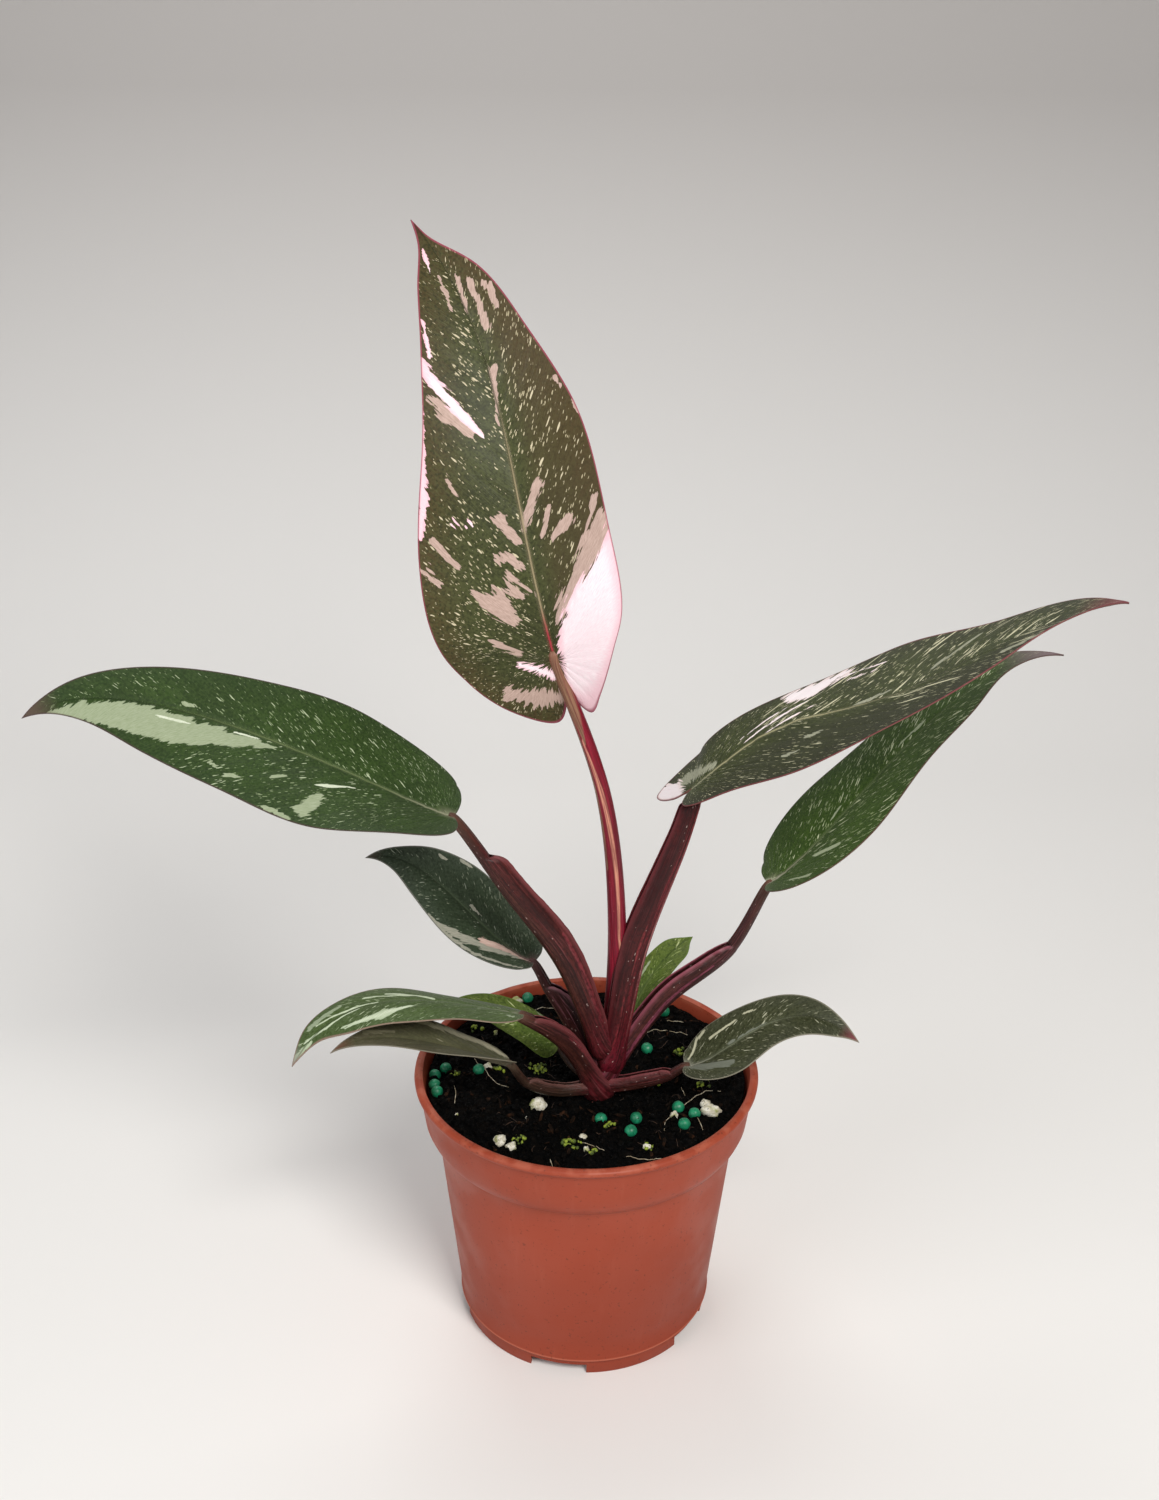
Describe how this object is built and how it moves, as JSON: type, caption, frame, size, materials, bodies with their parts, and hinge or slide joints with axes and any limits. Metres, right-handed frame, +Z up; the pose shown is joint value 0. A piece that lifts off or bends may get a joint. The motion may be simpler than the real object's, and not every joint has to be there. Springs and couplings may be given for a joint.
{
  "type": "potted philodendron",
  "caption": "Small philodendron with heart-based pointed leaves in pink and green, on red petioles, in a round tapered plastic nursery pot full of mix.",
  "frame": {"origin": "centre of the whole object's box seen from above, at the level of the pot's feet", "axes": "+Z up along the pot's axis, +X to the plant's right in the front view, -Y towards the front view's camera"},
  "size_m": [0.338, 0.12, 0.3803],
  "materials": {
    "terracotta_plastic": "satin moulded",
    "potting_mix": "damp and crumbly",
    "stem_skin": "waxy",
    "red_petiole": "waxy, glossy",
    "maroon_petiole": "waxy, glossy",
    "pink_variegated_blade": "waxy",
    "speckled_blade": "waxy",
    "silvery_blade": "waxy",
    "young_green_blade": "waxy"
  },
  "bodies": {
    "root": {"nursery_pot": "terracotta_plastic", "potting_mix": "potting_mix", "stem": "stem_skin", "leaf_top": "pink_variegated_blade", "petiole_top": "red_petiole", "leaf_left_high": "speckled_blade", "petiole_left_high": "maroon_petiole", "leaf_left_mid": "speckled_blade", "petiole_left_mid": "maroon_petiole", "leaf_left_low": "silvery_blade", "petiole_left_low": "maroon_petiole", "leaf_left_lowest": "silvery_blade", "petiole_left_lowest": "maroon_petiole", "leaf_left_back": "young_green_blade", "petiole_left_back": "maroon_petiole", "leaf_right_high": "pink_variegated_blade", "petiole_right_high": "maroon_petiole", "leaf_right_mid": "speckled_blade", "petiole_right_mid": "maroon_petiole", "leaf_right_low": "silvery_blade", "petiole_right_low": "maroon_petiole", "leaf_right_back": "young_green_blade", "petiole_right_back": "maroon_petiole"}
  },
  "joints": []
}
